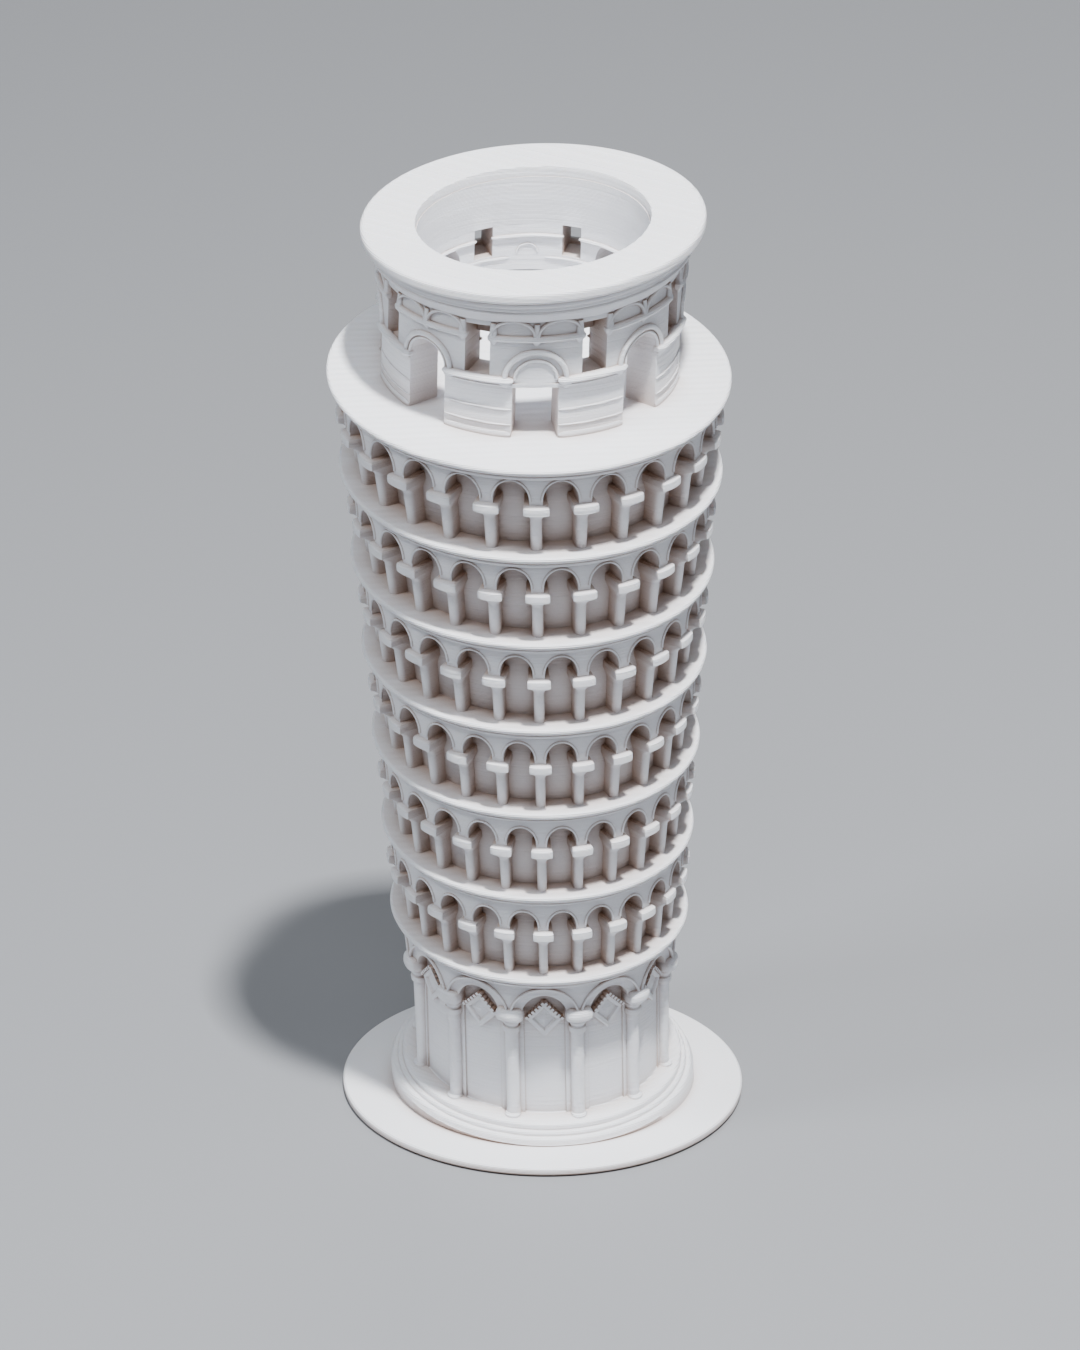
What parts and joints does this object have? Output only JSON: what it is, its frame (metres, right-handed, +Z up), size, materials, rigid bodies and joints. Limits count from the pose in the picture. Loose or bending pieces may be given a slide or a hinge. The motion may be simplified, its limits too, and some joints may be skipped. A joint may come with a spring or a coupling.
{
  "type": "miniature landmark model",
  "caption": "Free-standing miniature of a leaning round bell tower: thin disc base, blind-arcaded ground storey, arcaded galleries and an open belfry with a flat top ring.",
  "frame": {"origin": "centre of the base disc's underside", "axes": "+Z up, square to the base disc; the tower's front faces -Y and it leans towards -Y and slightly to -X"},
  "size_m": [0.062, 0.0741, 0.1483],
  "materials": {
    "white_plastic": "matt white printed plastic with fine layer lines"
  },
  "bodies": {
    "root": {"base_disc": "white_plastic", "plinth_step_lower": "white_plastic", "plinth_step_middle": "white_plastic", "plinth_step_upper": "white_plastic", "ground_drum": "white_plastic", "ground_arcade": "white_plastic", "cornice_1": "white_plastic", "cornice_2": "white_plastic", "cornice_3": "white_plastic", "cornice_4": "white_plastic", "cornice_5": "white_plastic", "cornice_6": "white_plastic", "cornice_7": "white_plastic", "gallery_1_drum": "white_plastic", "gallery_1_arcade": "white_plastic", "gallery_2_drum": "white_plastic", "gallery_2_arcade": "white_plastic", "gallery_3_drum": "white_plastic", "gallery_3_arcade": "white_plastic", "gallery_4_drum": "white_plastic", "gallery_4_arcade": "white_plastic", "gallery_5_drum": "white_plastic", "gallery_5_arcade": "white_plastic", "gallery_6_drum": "white_plastic", "gallery_6_arcade": "white_plastic", "belfry_wall": "white_plastic", "belfry_corbel_band": "white_plastic", "belfry_moulding": "white_plastic", "belfry_top_ring": "white_plastic"}
  },
  "joints": []
}
